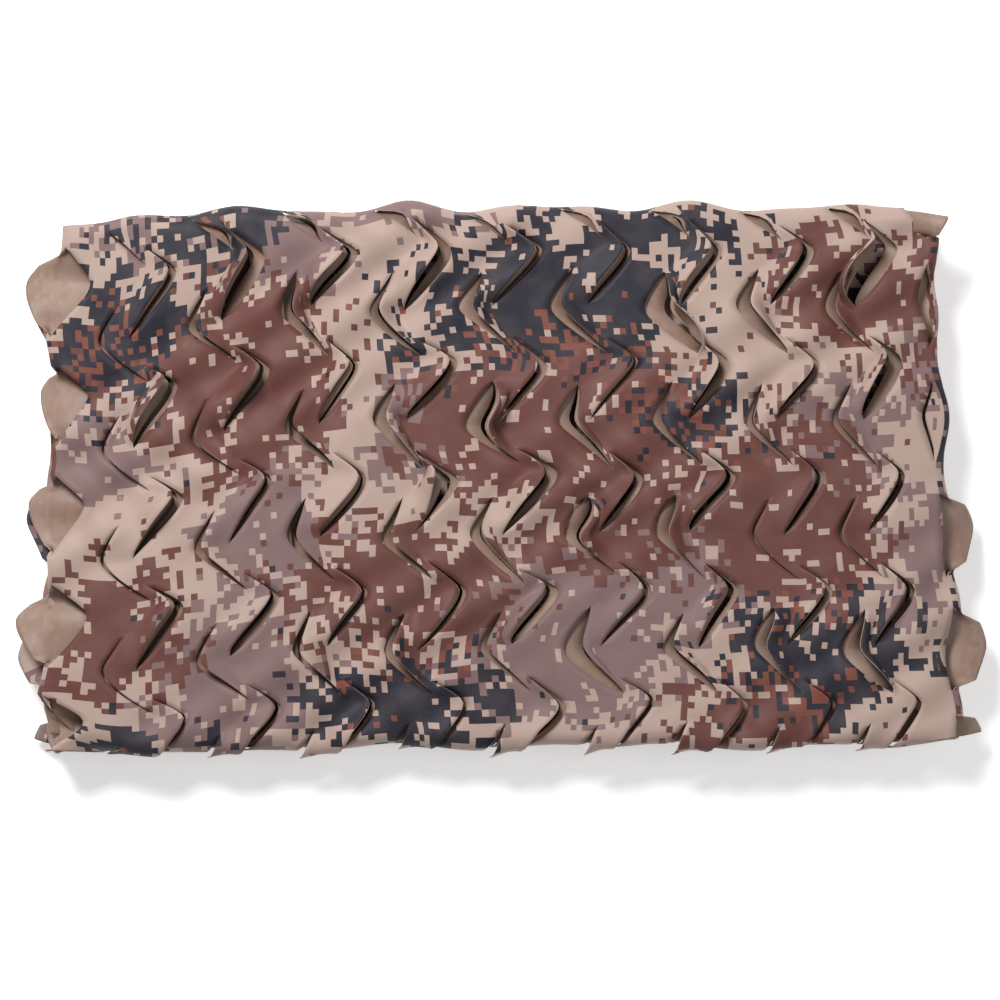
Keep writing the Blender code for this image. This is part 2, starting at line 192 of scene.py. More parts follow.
# The line and the number of the slits that open most above their apex, besides those on the back edge.
WIDE_ABOVE = [(8, 0), (9, 0), (11, -1), (13, -1), (15, -2)]
# Where along a slit it opens widest, from its front end at 0 to its back end at 1: the least and the most.
WIDEST = {"right": (0.34, 0.50), "left": (0.38, 0.55), "above": (0.64, 0.72)}
# Below 1 it makes a slit's ends blunter than a sine's.
BLUNTNESS = 0.85

# How the two sides of a slit share its opening: the least and the most. The outer lip draws back by a share
# and drops; the tongue draws back by the rest, slips across by a share, and stands up by a share of what it
# would need to keep its length.
LIPS = {
    "lip_share": (0.08, 0.28),
    "lip_drop": (-0.0012, 0.0012),
    "right_slip": (0.10, 0.45),
    "left_slip": (-0.10, 0.35),
    "tongue_lift": (0.15, 0.55),
    "edge_lift": (-0.02, 0.06),
}
# The tongues that stand up by more: their line, their slit and the share.
RAISED_TONGUES = [(18, 2, 0.62), (4, 1, 0.62), (7, 0, 0.55), (13, 1, 0.50), (9, 0, 0.60)]
TONGUE_LENGTH = 0.035
LIFTED_TIP = {"share": 0.40, "length": 0.008}
# In the plies below, the outer lip lies further in than the top one's and shows as a band, and a gap parts it
# from the tongue. Both are shares of the top ply's opening.
UNDER_LIPS = {
    "right_band": (0.20, 0.60),
    "right_gap": (0.30, 0.50),
    "left_band": (0.50, 0.95),
    "left_gap": (0.10, 0.28),
    "lift": (-0.12, 0.10),
    "drop": (-0.0004, 0.0006),
}
LARGEST_BAND = 0.0080

# How deep inside its fold a tongue at the two upper folds leaves its ply.
FLAP_DEPTH = 0.018
# The tongues that stand out at the folds, fold -1 being the one at the top ply's start. Each stands out by a
# share: 0 lies in the fold, 1 stands free. It leaves its ply at a depth inside the fold, reaches out for a
# share of its length, leaves at one angle and ends at another, both measured down from level, and turns
# sideways by a slope. Past the fold its back side sinks by the slope "twist", and its sides rise by the slope
# "cup". The cloth outside it is drawn out over it by the share "covered".
FLAP_VALUES = "fold slit stands depth reach leaves ends turns twist cup covered".split()
FLAPS = [dict(zip(FLAP_VALUES, row)) for row in (
    (-1, 2, 1.0, FLAP_DEPTH, 0.84, 0.05, 0.35, 0.06, 0.30, -0.10, 0.0),
    (-1, 1, 1.0, FLAP_DEPTH, 0.66, 0.00, 0.50, 0.10, 0.38, 0.25, 0.0),
    (-1, 0, 1.0, FLAP_DEPTH, 0.76, 0.05, 0.50, 0.04, 0.30, 0.15, 0.0),
    (-1, -1, 1.0, FLAP_DEPTH, 0.94, 0.00, 0.45, -0.08, 0.36, -0.15, 0.0),
    (-1, -2, 0.9, FLAP_DEPTH, 0.60, 0.10, 0.60, -0.35, 0.36, 0.15, 0.0),
    (0, 2, 1.0, FLAP_DEPTH, 0.62, -0.95, -0.35, -0.22, -0.25, 0.00, 0.0),
    (0, 1, 0.5, 0.0, 0.45, 0.00, 0.90, -0.20, 0.30, 0.20, 0.5),
    (0, 0, 0.2, 0.0, 0.40, 0.00, 0.90, 0.20, 0.20, 0.00, 0.2),
    (0, -1, 1.0, 0.0, 0.70, 0.00, 0.80, 0.05, 0.30, 0.30, 1.0),
    (0, -2, 1.0, 0.0, 0.80, -0.10, 0.70, -0.10, 0.30, -0.30, 1.0),
    (0, -3, 1.0, 0.0, 0.60, 0.00, 0.80, 0.15, 0.30, 0.30, 1.0),
    (1, 2, 0.3, 0.0, 0.40, 0.10, 0.90, 0.00, 0.10, 0.00, 0.3),
    (1, 1, 0.7, 0.0, 0.50, 0.10, 0.90, -0.20, 0.20, 0.20, 0.7),
    (1, 0, 0.6, 0.0, 0.50, 0.10, 0.90, 0.20, -0.20, 0.20, 0.6),
    (1, -1, 1.0, 0.0, 0.75, 0.00, 0.70, 0.20, 0.20, 0.20, 1.0),
    (1, -2, 1.0, 0.0, 0.90, 0.00, 0.60, -0.45, 0.10, 0.20, 1.0),
    (1, -3, 0.4, 0.0, 0.50, 0.10, 0.90, 0.00, 0.00, 0.00, 0.4),
)]
# The same for the tongues that the table leaves out: the least and the most.
OTHER_FLAPS = {
    "stands": (0.3, 0.9),
    "reach": (0.3, 0.75),
    "leaves": (0.0, 0.2),
    "ends": (0.4, 1.1),
    "turns": (-0.3, 0.3),
    "twist": (-0.2, 0.4),
    "cup": (-0.2, 0.3),
    "depth": (0.0, 0.0),
    "covered": (0.5, 0.9),
}
# A tongue comes free of its fold within this many rows of its slit's ends, and twists and cups over at least
# this share of its length.
FREE_AFTER_ROWS = 0.75
LEAST_TWISTED = 0.3

# Each kind of unevenness reads numbers of its own. Those of the flaps' values follow on from the last.
CHANNELS = {"gap": 1, "slip": 2, "lift": 3, "lip": 4, "drop": 5, "widest": 8, "flap": 20}
# Factors that share no pattern, so that the numbers look random.
FACTORS = {"line": 12.9898, "slit": 78.233, "channel": 37.719, "wave": 43758.5453}


def uneven(line, slit, channel):
    """A repeatable number between 0 and 1 for one slit: the fraction of a large multiple of a sine."""
    angle = line * FACTORS["line"] + slit * FACTORS["slit"] + channel * FACTORS["channel"]
    wave = np.sin(angle) * FACTORS["wave"]
    return wave - np.floor(wave)


def between(limits, share):
    """The number that lies `share` of the way from the first limit to the second."""
    return limits[0] + (limits[1] - limits[0]) * share


def ease(share):
    """Runs from 0 to 1 with level ends: 3 s squared minus 2 s cubed."""
    share = np.clip(share, 0.0, 1.0)
    return share * share * (3.0 - 2.0 * share)


def rounded(share):
    """A hyperbola that runs from 0 at an apex to 1 at an arm's end, so that the apex is round."""
    return (np.hypot(share, APEX_ROUNDING) - APEX_ROUNDING) / (math.hypot(1.0, APEX_ROUNDING) - APEX_ROUNDING)


class SlitLine:
    """A line of bracket-shaped slits across the net, and how the cloth on each side of it moves.

    Its u at each row is the apex's u less, or plus, a rounded arm. The opening is a sine hump along the slit
    whose widest place is shifted by a power, times the slit's own width. The values are arrays over the rows.
    """

    def __init__(self, number, points_right, apex_u, rows, shape):
        self.number = number
        self.points_right = points_right
        self.under = False
        apex_row = 0 if points_right else ROWS_PER_PITCH // 2
        low, up = shape["lower_rows"], shape["upper_rows"]
        self.slit = np.floor((rows - apex_row + low) / ROWS_PER_PITCH)
        above = rows - apex_row - self.slit * ROWS_PER_PITCH
        bridge = ease((above - up) / (ROWS_PER_PITCH - low - up))
        arm = np.where(
            above >= 0,
            shape["upper_back"] * rounded(above / up),
            shape["lower_back"] * rounded(-above / low),
        )
        span = shape["upper_back"] + (shape["lower_back"] - shape["upper_back"]) * bridge
        back = np.where(above > up, span, arm)
        self.u = apex_u - back if points_right else apex_u + back
        # A slit that ends on the net's own edge runs out through it.
        self.cut = ((above > -low) & (above < up)) | ((abs(rows) == EDGE_ROW) & (above == -low))
        self.from_end = np.minimum(above + low, up - above)
        self.across = np.clip(2.0 * (above + low) / (up + low) - 1.0, -1.0, 1.0)
        # The back row of left slits points at the net's own edge. Those at a fold run out through it.
        self.at_edge = (self.slit == BACK_SLIT) & (not points_right)
        closes = EDGE_CLOSES if shape is LEFT_SLIT else 0.0
        self.cut = self.cut & ~(self.at_edge & (above > -closes))
        along = np.where(self.at_edge, (above + low) / (low - closes), (self.across + 1.0) / 2.0)
        self.hump = np.where(self.cut, self.opened(np.clip(along, 0.0, 1.0)), 0.0)
        self.gap = self.hump * self.widths()

    def share(self, kind, further=0):
        """Each slit's own number between 0 and 1 for one kind of unevenness."""
        return uneven(self.number, self.slit, CHANNELS[kind] + further)

    def is_slit(self, line, slit):
        """The rows that are in one slit of one line."""
        return (self.slit == slit) & (self.number == line)

    def opened(self, along):
        """A blunt sine hump over 0 to 1, with its top moved to where the slit is widest."""
        above = self.at_edge
        for line, slit in WIDE_ABOVE:
            above = above | self.is_slit(line, slit)
        widest = between(WIDEST["right" if self.points_right else "left"], self.share("widest"))
        widest = np.where(above, between(WIDEST["above"], self.share("widest")), widest)
        power = math.log(0.5) / np.log(widest)
        return np.sin(np.pi * along**power) ** BLUNTNESS

    def widths(self):
        """How wide the slit that each row is in stands open, from OPEN_SLITS."""
        widths = np.zeros_like(self.slit)
        open_slits = OPEN_SLITS[self.number] if self.number < len(OPEN_SLITS) else ()
        for further, width in enumerate(open_slits):
            widths = np.where(self.slit == BACK_SLIT - further, width / 1000.0, widths)
        return widths

    def mirrored(self, start_u, scale):
        """The same line on a ply that is turned over: its u is `start_u` less `scale` times this line's."""
        twin = copy.copy(self)
        twin.u = start_u - scale * self.u
        twin.points_right = not self.points_right
        twin.under = True
        return twin

    def tongue(self, share, distance):
        """The move of the cloth inside the bracket, `share` of the way to the next line.

        It is drawn back by its part of the gap, slips across, and lifts by a share of the geometric mean of
        the gap and the tongue's length. The lift fades towards the next line, and a part of it faster, by an
        exponential of the distance.
        """
        fade = 1.0 - ease(share)
        towards_root = -1.0 if self.points_right else 1.0
        if self.under:
            gap_share = UNDER_LIPS["left_gap" if self.points_right else "right_gap"]
            drawn = self.band() + self.gap * between(gap_share, self.share("gap"))
            lift = np.where(self.at_edge, 0.0, between(UNDER_LIPS["lift"], self.share("lift")))
            slip = 0.0
        else:
            drawn = self.gap * (1.0 - between(LIPS["lip_share"], self.share("lip")))
            lift = between(LIPS["tongue_lift"], self.share("lift"))
            lift = np.where(self.at_edge, between(LIPS["edge_lift"], self.share("lift")), lift)
            for line, slit, raised_by in RAISED_TONGUES:
                lift = np.where(self.is_slit(line, slit), raised_by, lift)
            slip = between(LIPS["right_slip" if self.points_right else "left_slip"], self.share("slip"))
            slip = np.where(self.at_edge, 0.0, slip)
        lift = lift * np.sqrt(self.gap * self.hump * TONGUE_LENGTH)
        tip = np.where(self.at_edge, 0.0, LIFTED_TIP["share"])
        lift = lift * ((1.0 - tip) * fade + tip * np.exp(-distance / LIFTED_TIP["length"]) * (1.0 - share))
        return np.stack([towards_root * drawn * fade, slip * self.gap * fade, lift])

    def band(self):
        """How far the outer lip of a lower ply, which is turned over, lies inside the top one's."""
        share = UNDER_LIPS["left_band" if self.points_right else "right_band"]
        return np.minimum(self.gap * between(share, self.share("lip")), LARGEST_BAND)

    def lip(self, share, distance):
        """The move of the cloth outside the bracket."""
        fade = 1.0 - ease(share)
        away = 1.0 if self.points_right else -1.0
        if self.under:
            drawn = -self.band()
            drop = between(UNDER_LIPS["drop"], self.share("drop"))
        else:
            drawn = self.gap * between(LIPS["lip_share"], self.share("lip"))
            drop = between(LIPS["lip_drop"], self.share("drop"))
        return np.stack([away * drawn * fade, 0.0 * drawn, -drop * self.hump * fade])


def fold_u(number):
    """Where ply `number` ends and its fold starts, on the base line of a line of left slits."""
    first = FOLD_RIGHT_SLIT["upper_back"] + LEFT_APEX_AFTER_RIGHT + FOLD_LEFT_SLIT["upper_back"]
    return first + PITCH_U * (SLIT_COLUMNS - 1 + SLIT_COLUMNS * number)


def fold_arc(number):
    """The length of net in the fold below ply `number`: half a turn."""
    return math.pi * (PLIES[number]["height"] - PLIES[number + 1]["height"]) / 2


def flat_piece(from_u, to_u, from_x, to_x, z):
    """A ply of the path: straight at one height. `side` is the way that it runs along x."""
    side = 1.0 if to_x > from_x else -1.0
    ends = {"from_u": from_u, "to_u": to_u, "from_x": from_x, "to_x": to_x}
    return {**ends, "z": z, "side": side, "radius": 0.0}


def fold_piece(from_u, radius, x, z, side, climb):
    """Half a circle of the path, bulging to the `side` and climbing by 1 or -1."""
    to_u = from_u + math.pi * radius
    ends = {"from_u": from_u, "to_u": to_u, "from_x": x}
    return {**ends, "z": z, "side": side, "climb": climb, "radius": radius}


def path_pieces():
    """The plies and folds in the order of u. The top ply starts at u = 0."""
    tuck = TUCKED_PLY
    radius = (PLIES[0]["height"] - tuck["height"]) / 2
    arc = math.pi * radius
    tuck_length = tuck["inner_end_x"] - TOP_START_X
    pieces = [
        flat_piece(-arc - tuck_length, -arc, tuck["inner_end_x"], TOP_START_X, tuck["height"]),
        fold_piece(-arc, radius, TOP_START_X, tuck["height"], -1.0, 1.0),
    ]
    from_u, from_x = 0.0, TOP_START_X
    for number, ply in enumerate(PLIES):
        to_u = fold_u(number)
        pieces.append(flat_piece(from_u, to_u, from_x, ply["runs_to_x"], ply["height"]))
        if number + 1 == len(PLIES):
            break
        side = 1.0 if number % 2 == 0 else -1.0
        radius = fold_arc(number) / math.pi
        pieces.append(fold_piece(to_u, radius, ply["runs_to_x"], ply["height"], side, -1.0))
        from_u, from_x = to_u + fold_arc(number), ply["runs_to_x"]
    # The net's last column lies on the path too.
    pieces[-1]["to_u"] += 1e-6
    return pieces


PATH = path_pieces()
FIRST_U = PATH[0]["from_u"]
TUCK_FOLD_U = PATH[1]["from_u"]
SECOND_START_U = fold_u(0) + fold_arc(0)
LAST_U = fold_u(len(PLIES) - 1)
NET_LENGTH = LAST_U - FIRST_U


def section(u):
    """The path of the net, x, z and direction at each u: straight along a ply, a half circle round a fold."""
    x, z = np.zeros_like(u), np.zeros_like(u)
    along_x, along_z = np.ones_like(u), np.zeros_like(u)
    for piece in PATH:
        here = (u >= piece["from_u"]) & (u < piece["to_u"])
        if not here.any():
            continue
        share = (u - piece["from_u"]) / (piece["to_u"] - piece["from_u"])
        if piece["radius"] == 0.0:
            found = (
                piece["from_x"] + (piece["to_x"] - piece["from_x"]) * share,
                piece["z"] + 0.0 * share,
                piece["side"] + 0.0 * share,
                0.0 * share,
            )
        else:
            turn = np.pi * share
            found = (
                piece["from_x"] + piece["side"] * piece["radius"] * np.sin(turn),
                piece["z"] + piece["climb"] * piece["radius"] * (1.0 - np.cos(turn)),
                piece["side"] * np.cos(turn),
                piece["climb"] * np.sin(turn),
            )
        for whole, part in zip((x, z, along_x, along_z), found):
            whole[here] = part[here]
    return x, z, along_x, along_z


def waves(rows, x, y):
    """A sum of sines. Each row has its share, its radians a metre along x and along y, and its start."""
    return sum(share * np.sin(along_x * x + along_y * y + start) for share, along_x, along_y, start in rows)


def slid(x, v):
    """How far forwards the two upper plies slid: less to the right, at the front and at the back edge."""
    slide = SLIDE["by"] * (1.0 - ease((x - TOP_START_X) / SLIDE["reach"]))
    slide = slide * between((SLIDE["at_front"], 1.0), v / NET_WIDTH + 0.5)
    near_edge = ease((v - SLIDE["edge_start"]) / (NET_WIDTH / 2 - SLIDE["edge_start"]))
    return slide * (1.0 - SLIDE["edge_less"] * near_edge)


def across(u, v, rolled, top):
    """The cloth's y, its drop at the edges and its tilt there.

    Rolled cloth runs level, round a quarter circle and straight down. Flat cloth is drawn in near its edges,
    and slow sines along the net vary its width and shift it. The two are mixed by the share `rolled`.
    """
    past = np.clip(np.abs(v) - ROLL_START, 0.0, None)
    angle = np.minimum(past / ROLL_RADIUS, math.pi / 2)
    straight = past - angle * ROLL_RADIUS
    side = np.sign(v)
    radius_y = np.where(top, ROLL_RADIUS, ROLL_RADIUS - UNDER_ROLL["inset"])
    roll_y = side * (np.minimum(np.abs(v), ROLL_START) + radius_y * np.sin(angle))
    roll_drop = ROLL_RADIUS * (1.0 - np.cos(angle)) + straight
    stray = u / STRAY_LENGTH
    edge_y = LOWER_DRAW_IN * NET_WIDTH / 2
    shrink = (edge_y - DRAW_IN_START) / (NET_WIDTH / 2 - DRAW_IN_START)
    flat_y = np.minimum(np.abs(v), DRAW_IN_START) + np.clip(np.abs(v) - DRAW_IN_START, 0.0, None) * shrink
    flat_y = side * flat_y * (1.0 + WIDTH_STRAY["by"] * np.sin(WIDTH_STRAY["waves"] * stray))
    flat_y = flat_y + SIDE_STRAY * np.sin(stray)
    return rolled * roll_y + (1.0 - rolled) * flat_y, rolled * roll_drop, rolled * angle * side


def strayed(u, x, y, share, upper):
    """The uneven lay seen from above: x and y once the upper plies are stretched, leaned and bowed.

    The lean grows along the bundle by an exponential and a straight line, and the bow fades by an
    exponential. Sums of sines move the lattice, the back edge and the folds. The corner of the plies below
    the slid ones is set in.
    """
    inner = np.where(upper, np.sin(np.pi * share), 0.0)
    lean = LEAN["left"] + (LEAN["middle"] - LEAN["left"]) * (1.0 - np.exp(-share / LEAN["reach"]))
    lean = lean + LEAN["gain"] * share
    stretch = np.where(upper, STRETCH["by"] * share * (1.0 - share ** STRETCH["power"]), 0.0)
    bow = BOW["by"] * np.exp(-share * TOP_LENGTH / BOW["reach"]) * ease(share * BOW["steepness"])
    bow = bow * inner ** BOW["power"]
    stray_x = LATTICE_STRAY["by"] * waves(LATTICE_STRAY["x_waves"], x, y) * inner
    stray_y = LATTICE_STRAY["by"] * waves(LATTICE_STRAY["y_waves"], x, y) * inner
    at_back = ease((y - EDGE_WAVE["from_y"]) / (EDGE_WAVE["to_y"] - EDGE_WAVE["from_y"]))
    stray_y = stray_y + EDGE_WAVE["by"] * at_back * waves(EDGE_WAVE["waves"], x, y) * np.sqrt(inner)
    corner = ease((y - CORNER["from_y"]) / (CORNER["to_y"] - CORNER["from_y"]))
    corner = corner * np.exp(-np.clip(x - TOP_START_X, 0.0, None) / CORNER["reach_x"])
    stray_x = stray_x + CORNER["rightward"] * corner**2
    stray_y = stray_y - np.where(u <= fold_u(0), 0.0, CORNER["inward"] * corner)
    at_ends = (1.0 - np.sin(np.pi * share)) ** END_STRAY["power"]
    end_x = END_STRAY["by"] * waves(END_STRAY["waves"], u / STRAY_LENGTH, y) * at_ends
    return x + stretch - lean * y + stray_x + end_x, y - bow + stray_y


def bulged(u, x, z):
    """The height once the second and the tucked ply bulge up, with eased slopes."""
    second = (u > SECOND_START_U) & (u <= fold_u(1))
    slope = BULGE["slope_length"]
    bulge = ease((x - BULGE["starts_x"]) / slope) * ease((BULGE["ends_x"] - x) / slope)
    z = z + np.where(second, BULGE["rise"] * bulge, 0.0)
    tuck_share = (TUCK_FOLD_U - u) / (TUCK_FOLD_U - FIRST_U)
    tuck = TUCK_BULGE["rise"] * ease(TUCK_BULGE["steepness"] * tuck_share)
    return z + np.where(u < TUCK_FOLD_U, tuck, 0.0)


def waved(x, y):
    """How far the waves and creases lift the top ply: sums of sines, the creases times a slow one."""
    bend = CREASE["bent_by"] * np.sin(CREASE["bent_over"] * y)
    creases = waves([(*CREASE["bent"], bend), CREASE["straight"]], x, y)
    swell = 1.0 + waves([CREASE["swell"]], x, y)
    return WAVE["by"] * waves(WAVE["waves"], x, y) + CREASE["by"] * creases * swell


def pressed(x, y):
    """How deep the hollows beside the left tongues are: a sum of exponentials of minus a squared distance."""
    depth = 0.0
    for row in DENTS:
        squared = ((x - row["x"]) / DENT_SIZE["x"]) ** 2 + ((y - row["y"]) / DENT_SIZE["y"]) ** 2
        depth = depth + row["depth"] * np.exp(-squared)
    return depth


def place(u, v, moved):
    """The net's surface at (u, v), moved along u, along v and out of the cloth by `moved`.

    The path gives x and z. The upper plies slide, roll over the front and back edges, and stray. Waves and
    hollows then lift and lower the plies together, less towards the floor.
    """
    x, z, along_x, along_z = section(u)
    top = (u >= 0.0) & (u <= fold_u(0))
    upper = u <= fold_u(1)
    share = np.clip((x - TOP_START_X) / TOP_LENGTH, 0.0, 1.0)
    top_rolled = ease(u / ROLL_FADE) * ease((fold_u(0) - u) / ROLL_FADE)
    under_rolled = np.where(upper, ease(np.sin(np.pi * share) / UNDER_ROLL["fade"]), 0.0)
    v = v - np.where(u <= fold_u(0), slid(x, v), 0.0)
    y, drop, tilt = across(u, v, np.where(top, top_rolled, under_rolled), top)
    x, y = strayed(u, x, y, share, upper)
    z = bulged(u, x, z)
    lift = np.clip((z - LOWEST) / (PLIES[0]["height"] - LOWEST), 0.0, 1.0)
    z = z - drop + waved(x, y) * lift - np.where(top, 0.0, pressed(x, y) * lift)
    out_x, out_flat = -along_z, along_x
    point_x = x + along_x * moved[0] + out_x * moved[2]
    point_y = y + np.cos(tilt) * moved[1] + out_flat * np.sin(tilt) * moved[2]
    point_z = z + along_z * moved[0] - np.sin(tilt) * moved[1] + out_flat * np.cos(tilt) * moved[2]
    return np.stack([point_x - MIDDLE_X, point_y - MIDDLE_Y, point_z], axis=-1)


def plain_place(u, v):
    """The net's surface where no slit moves it."""
    return place(u, v, np.zeros((3, len(v))))


def flap_values(fold, line):
    """What FLAPS, or else OTHER_FLAPS, says for the slit that each row of a fold's line is in."""
    values = {}
    for channel, (name, limits) in enumerate(OTHER_FLAPS.items()):
        values[name] = between(limits, line.share("flap", channel))
        for row in FLAPS:
            if row["fold"] == fold:
                values[name] = np.where(line.slit == row["slit"], row[name], values[name])
    return values


def flap(fold, line, u, v, root_u):
    """A tongue that stands out at a fold, on the side that the fold is on.

    It leaves its ply at its own depth beyond `root_u` at one angle below the level and ends at another, along
    an arc, so that its reach is the integral of the angle's cosine and its fall that of its sine. Past the
    fold, twist and cup add slopes that grow towards its sides. Near the slit's ends it eases back into the
    fold, and it stops at the floor.
    """
    side = -1.0 if fold % 2 else 1.0
    row = flap_values(fold, line)
    onward = -1.0 if fold < 0 else 1.0
    leaves_at = root_u + onward * row["depth"]
    longest = FOLD_LEFT_SLIT["upper_back"] + (fold_arc(fold) if fold >= 0 else -TUCK_FOLD_U) + row["depth"]
    own_length = longest * row["reach"]
    length = np.clip((leaves_at - u) * onward, 0.0, None) * row["reach"]
    bend = (row["ends"] - row["leaves"]) / own_length
    angle = row["leaves"] + bend * length
    out = (np.sin(angle) - np.sin(row["leaves"])) / bend
    twisted = np.maximum(own_length - row["depth"], LEAST_TWISTED * own_length)
    turned = np.clip(out - row["depth"], 0.0, None) * own_length / twisted
    root = plain_place(leaves_at, v)
    root[:, 0] += side * out
    root[:, 1] += row["turns"] * out
    root[:, 2] -= (np.cos(row["leaves"]) - np.cos(angle)) / bend
    root[:, 2] -= (row["twist"] * line.across - row["cup"] * (line.across**2 - 0.5)) * turned
    root[:, 2] = np.maximum(root[:, 2], LOWEST)
    free = (row["stands"] * ease(line.from_end / FREE_AFTER_ROWS) * (length > 0.0))[:, None]
    return root * free + plain_place(u, v) * (1.0 - free)


class Surface:
    """Collects the grid of the open cloth: columns of points, joined by quads, with u and v at each point."""

    def __init__(self, v):
        self.v = v
        self.points, self.flat, self.quads = [], [], []
        self.count = 0

    def add_points(self, points, u, v):
        """Adds points with their u and v, and gives their numbers."""
        first = self.count
        self.points.append(points)
        self.flat.append(np.stack([u, v], axis=-1))
        self.count += len(points)
        return np.arange(first, self.count)

    def add_column(self, u, left, right=None, cut=None):
        """Adds a column of points. Where `cut` is set, its left and right sides are apart."""
        left_index = self.add_points(left, u, self.v)
        right_index = left_index.copy()
        if cut is not None:
            right_index[cut] = self.add_points(right[cut], u[cut], self.v[cut])
        return left_index, right_index

    def join(self, left, right):
        """Quads between two columns, from row to row."""
        self.quads.append(np.stack([left[:-1], right[:-1], right[1:], left[1:]], axis=-1))

    def plain_column(self, u):
        """A column at one u, where no slit is."""
        flat_u = np.full_like(self.v, u)
        return self.add_column(flat_u, plain_place(flat_u, self.v))[0]


def add_strip(surface, left, right, columns, index):
    """The cloth between two slit lines, from the column `index`. Each line's moves fade towards the other."""
    inside = not left.points_right
    gap = right.u - left.u
    for step in range(1, columns):
        share = step / columns
        u = left.u + gap * share
        from_left = (left.tongue if inside else left.lip)(share, gap * share)
        from_right = (right.tongue if inside else right.lip)(1.0 - share, gap * (1.0 - share))
        column = surface.add_column(u, place(u, surface.v, from_left + from_right))[0]
        surface.join(index, column)
        index = column
    return index


def add_line(surface, line, index):
    """The two sides of a slit line, joined to the column `index`. Gives the column on its right."""
    v = surface.v
    still = np.zeros_like(v)
    inside = place(line.u, v, line.tongue(still, still))
    outside = place(line.u, v, line.lip(still, still))
    sides = (inside, outside) if line.points_right else (outside, inside)
    left_index, right_index = surface.add_column(line.u, *sides, line.cut)
    surface.join(index, left_index)
    return right_index


def add_lines(surface, lines, index, detail):
    """Slit lines and the strips between them. The first one is joined straight to the column `index`."""
    index = add_line(surface, lines[0], index)
    for left, right in zip(lines, lines[1:]):
        index = add_strip(surface, left, right, detail["narrow" if left.points_right else "wide"], index)
        index = add_line(surface, right, index)
    return index


def add_tongue_columns(surface, fold, line, index, base_index, from_u, to_u, root_u, columns):
    """Columns that only the tongues at a fold have. In the rows between them they fall on the base line."""
    for step in range(1, columns + 1):
        u = from_u + (to_u - from_u) * step / columns
        column = flap(fold, line, u, surface.v, root_u)
        tongue_index = base_index.copy()
        tongue_index[line.cut] = surface.add_points(column[line.cut], u[line.cut], surface.v[line.cut])
        surface.join(index, tongue_index)
        index = tongue_index
    return index


def add_fold_columns(surface, fold, line, index, from_u, to_u, root_u, columns):
    """Columns round a fold, without its two ends. Between a slit's ends they follow its tongue."""
    for step in range(1, columns):
        u = np.full_like(surface.v, from_u + (to_u - from_u) * step / columns)
        column = plain_place(u, surface.v)
        column[line.cut] = flap(fold, line, u, surface.v, root_u)[line.cut]
        column_index = surface.add_column(u, column)[0]
        surface.join(index, column_index)
        index = column_index
    return index


def add_flap_roots(surface, fold, line, index, from_u, to_u, root_u):
    """Columns in the ply that the tongues at a fold leave, where they have left it or are about to."""
    for step in range(1, TONGUE_COLUMNS["root"] + 1):
        u = np.full_like(surface.v, from_u + (to_u - from_u) * step / TONGUE_COLUMNS["root"])
        column = surface.add_column(u, flap(fold, line, u, surface.v, root_u))[0]
        surface.join(index, column)
        index = column
    return index


def add_first_fold(surface, line, index):
    """The fold at the top ply's start. Its tongues stand out from the tucked ply."""
    v = surface.v
    start_u = np.zeros_like(v)
    root_u = TUCK_FOLD_U
    index = add_flap_roots(surface, -1, line, index, root_u - FLAP_DEPTH, root_u, root_u)
    index = add_fold_columns(surface, -1, line, index, root_u, 0.0, root_u, TOP_DETAIL["fold"])
    base = plain_place(start_u, v)
    base[line.cut] = flap(-1, line, start_u, v, root_u)[line.cut]
    base_index = surface.add_column(start_u, base)[0]
    surface.join(index, base_index)
    columns = TONGUE_COLUMNS["upper"]
    add_tongue_columns(surface, -1, line, base_index, base_index, start_u, line.u, root_u, columns)
    outside = place(line.u, v, line.lip(start_u, start_u))
    open_index = base_index.copy()
    open_index[line.cut] = surface.add_points(outside[line.cut], line.u[line.cut], v[line.cut])
    return open_index


def covering(number, line):
    """A fold's slit line as the cloth outside it has it: each row is drawn out by its share "covered"."""
    outer = copy.copy(line)
    outer.u = line.u + (fold_u(number) - line.u) * flap_values(number, line)["covered"]
    return outer


def add_fold(surface, number, line, index, detail):
    """The fold below ply `number`. Its tongues stand out from the ply that follows."""
    v = surface.v
    still = np.zeros_like(v)
    base_u, end_u = fold_u(number), fold_u(number) + fold_arc(number)
    base_column = np.full_like(v, base_u)
    outer = covering(number, line)
    outside = place(outer.u, v, outer.lip(still, still))
    inside = flap(number, line, line.u, v, end_u)
    outside[~line.cut] = plain_place(base_column, v)[~line.cut]
    left_index, right_index = surface.add_column(line.u, outside, inside, line.cut)
    surface.join(index, left_index)
    columns = TONGUE_COLUMNS["upper" if number < UPPER_FOLDS else "lower"]
    index = add_tongue_columns(
        surface, number, line, right_index, left_index, line.u, base_column, end_u, columns
    )
    index = add_fold_columns(surface, number, line, index, base_u, end_u, end_u, detail["fold"])
    if number == 0:
        last = end_u - (end_u - base_u) / detail["fold"]
        return add_flap_roots(surface, 0, line, index, last, end_u + FLAP_DEPTH, end_u)
    column_index = surface.plain_column(end_u)
    surface.join(index, column_index)
    return column_index


def top_lines(rows):
    """The slit lines of the top ply, from left to right."""
    first_apex = FOLD_RIGHT_SLIT["upper_back"]
    lines = []
    for column in range(SLIT_COLUMNS):
        apex = first_apex + PITCH_U * column
        shape = FOLD_RIGHT_SLIT if column == 0 else RIGHT_SLIT
        lines.append(SlitLine(2 * column, True, apex, rows, shape))
        if column < SLIT_COLUMNS - 1:
            lines.append(SlitLine(2 * column + 1, False, apex + LEFT_APEX_AFTER_RIGHT, rows, LEFT_SLIT))
    return lines + [fold_line(0, rows)]


